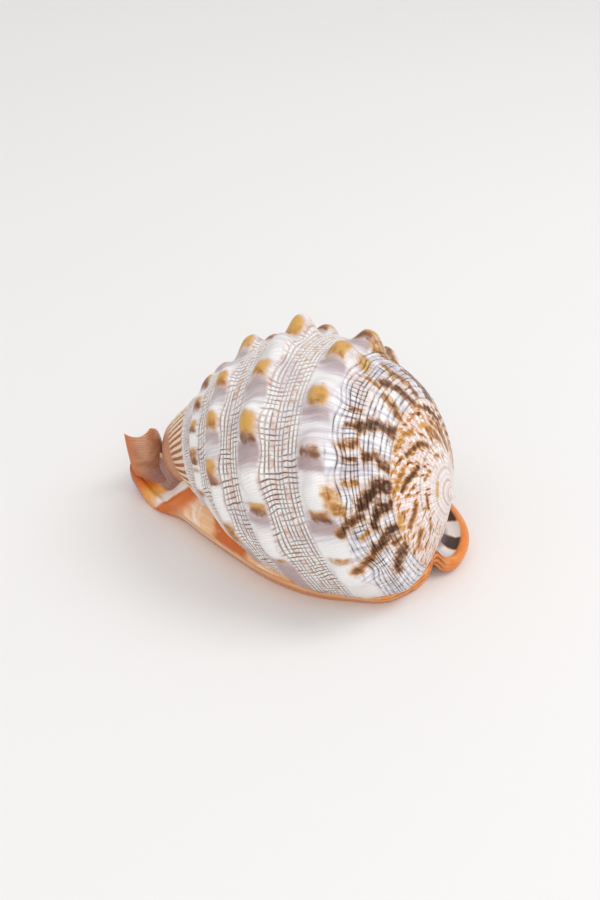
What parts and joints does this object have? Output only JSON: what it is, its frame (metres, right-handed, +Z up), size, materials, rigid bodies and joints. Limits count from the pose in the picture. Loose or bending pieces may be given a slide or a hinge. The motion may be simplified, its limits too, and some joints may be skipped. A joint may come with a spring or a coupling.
{
  "type": "bullmouth helmet shell",
  "caption": "Heavy helmet sea shell lying mouth down, with rows of blunt knobs round the whorl, an upturned canal, a thick toothed lip and a smooth shield.",
  "frame": {"origin": "middle of the bounding box on the table plane, with the shell resting on its shield and outer lip", "axes": "+X from the upturned canal to the spire, +Y to the outer lip side, +Z up from the mouth side to the knobbed back"},
  "size_m": [0.1458, 0.1188, 0.0912],
  "materials": {
    "shell": "hard porcelain-like shell, satin on the knobbed back, glossy orange on the shield and lip"
  },
  "bodies": {
    "root": {"shell": "shell"}
  },
  "joints": []
}
